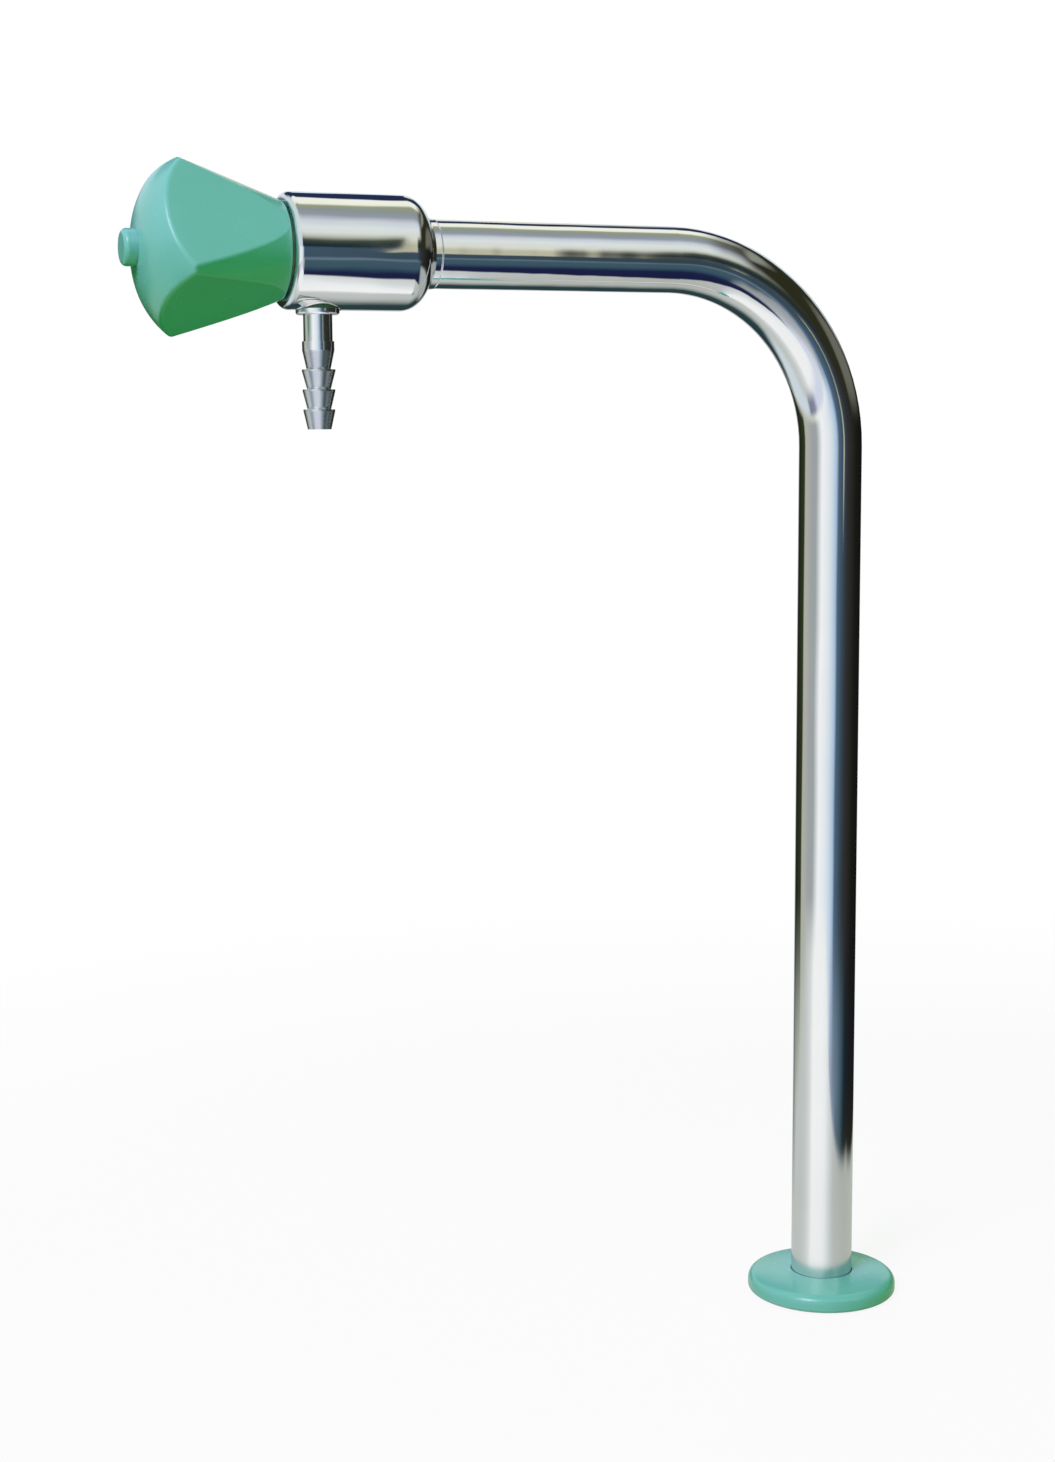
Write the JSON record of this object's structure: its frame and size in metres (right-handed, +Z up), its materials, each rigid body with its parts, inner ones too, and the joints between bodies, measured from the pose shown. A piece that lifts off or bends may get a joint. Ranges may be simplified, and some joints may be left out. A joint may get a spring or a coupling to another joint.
{
  "type": "laboratory pure water tap",
  "caption": "Deck-mounted swan-neck laboratory tap with a barbed hose nozzle under the valve barrel and a quarter-turn lobed knob at the end of the arm.",
  "frame": {"origin": "centre of the column in the deck plane, which is the underside of the deck gasket", "axes": "+Z up along the column, the arm and the knob point along -X, the arm lies in the XZ plane"},
  "size_m": [0.276, 0.0536, 0.4572],
  "materials": {
    "polished_steel": "polished stainless steel",
    "turned_steel": "turned stainless steel",
    "green_plastic": "glossy turquoise-green moulding",
    "black_rubber": "matt elastomer",
    "white_polymer": "white sealing polymer",
    "disc_ceramic": "lapped ceramic",
    "insert_brass": "machined"
  },
  "bodies": {
    "tap_body": {"swan_neck_tube": "polished_steel", "base_rosette": "green_plastic", "rosette_o_ring": "black_rubber", "threaded_shank": "turned_steel", "deck_gasket": "black_rubber", "under_deck_washer": "black_rubber", "clamp_washer": "turned_steel", "lock_nut": "turned_steel", "valve_barrel": "polished_steel", "hose_nozzle": "polished_steel", "nozzle_seal": "white_polymer", "headwork_bonnet": "turned_steel", "bonnet_gasket": "white_polymer", "seat_seal": "black_rubber", "fixed_ceramic_disc": "disc_ceramic"},
    "knob": {"handle": "green_plastic", "handle_cap": "green_plastic", "handle_insert": "insert_brass", "handle_screw": "turned_steel", "screw_spring_washer": "turned_steel", "spindle": "turned_steel", "spindle_o_rings": "black_rubber", "spindle_circlip": "turned_steel", "thrust_washer": "white_polymer", "travel_stop": "white_polymer", "moving_ceramic_disc": "disc_ceramic"}
  },
  "joints": [
    {"name": "handle_turn", "type": "hinge", "parent": "tap_body", "child": "knob", "pos_m": [-0.1984, 0, 0.3705], "axis": [-1, 0, 0], "range_deg": [0, 90]}
  ]
}
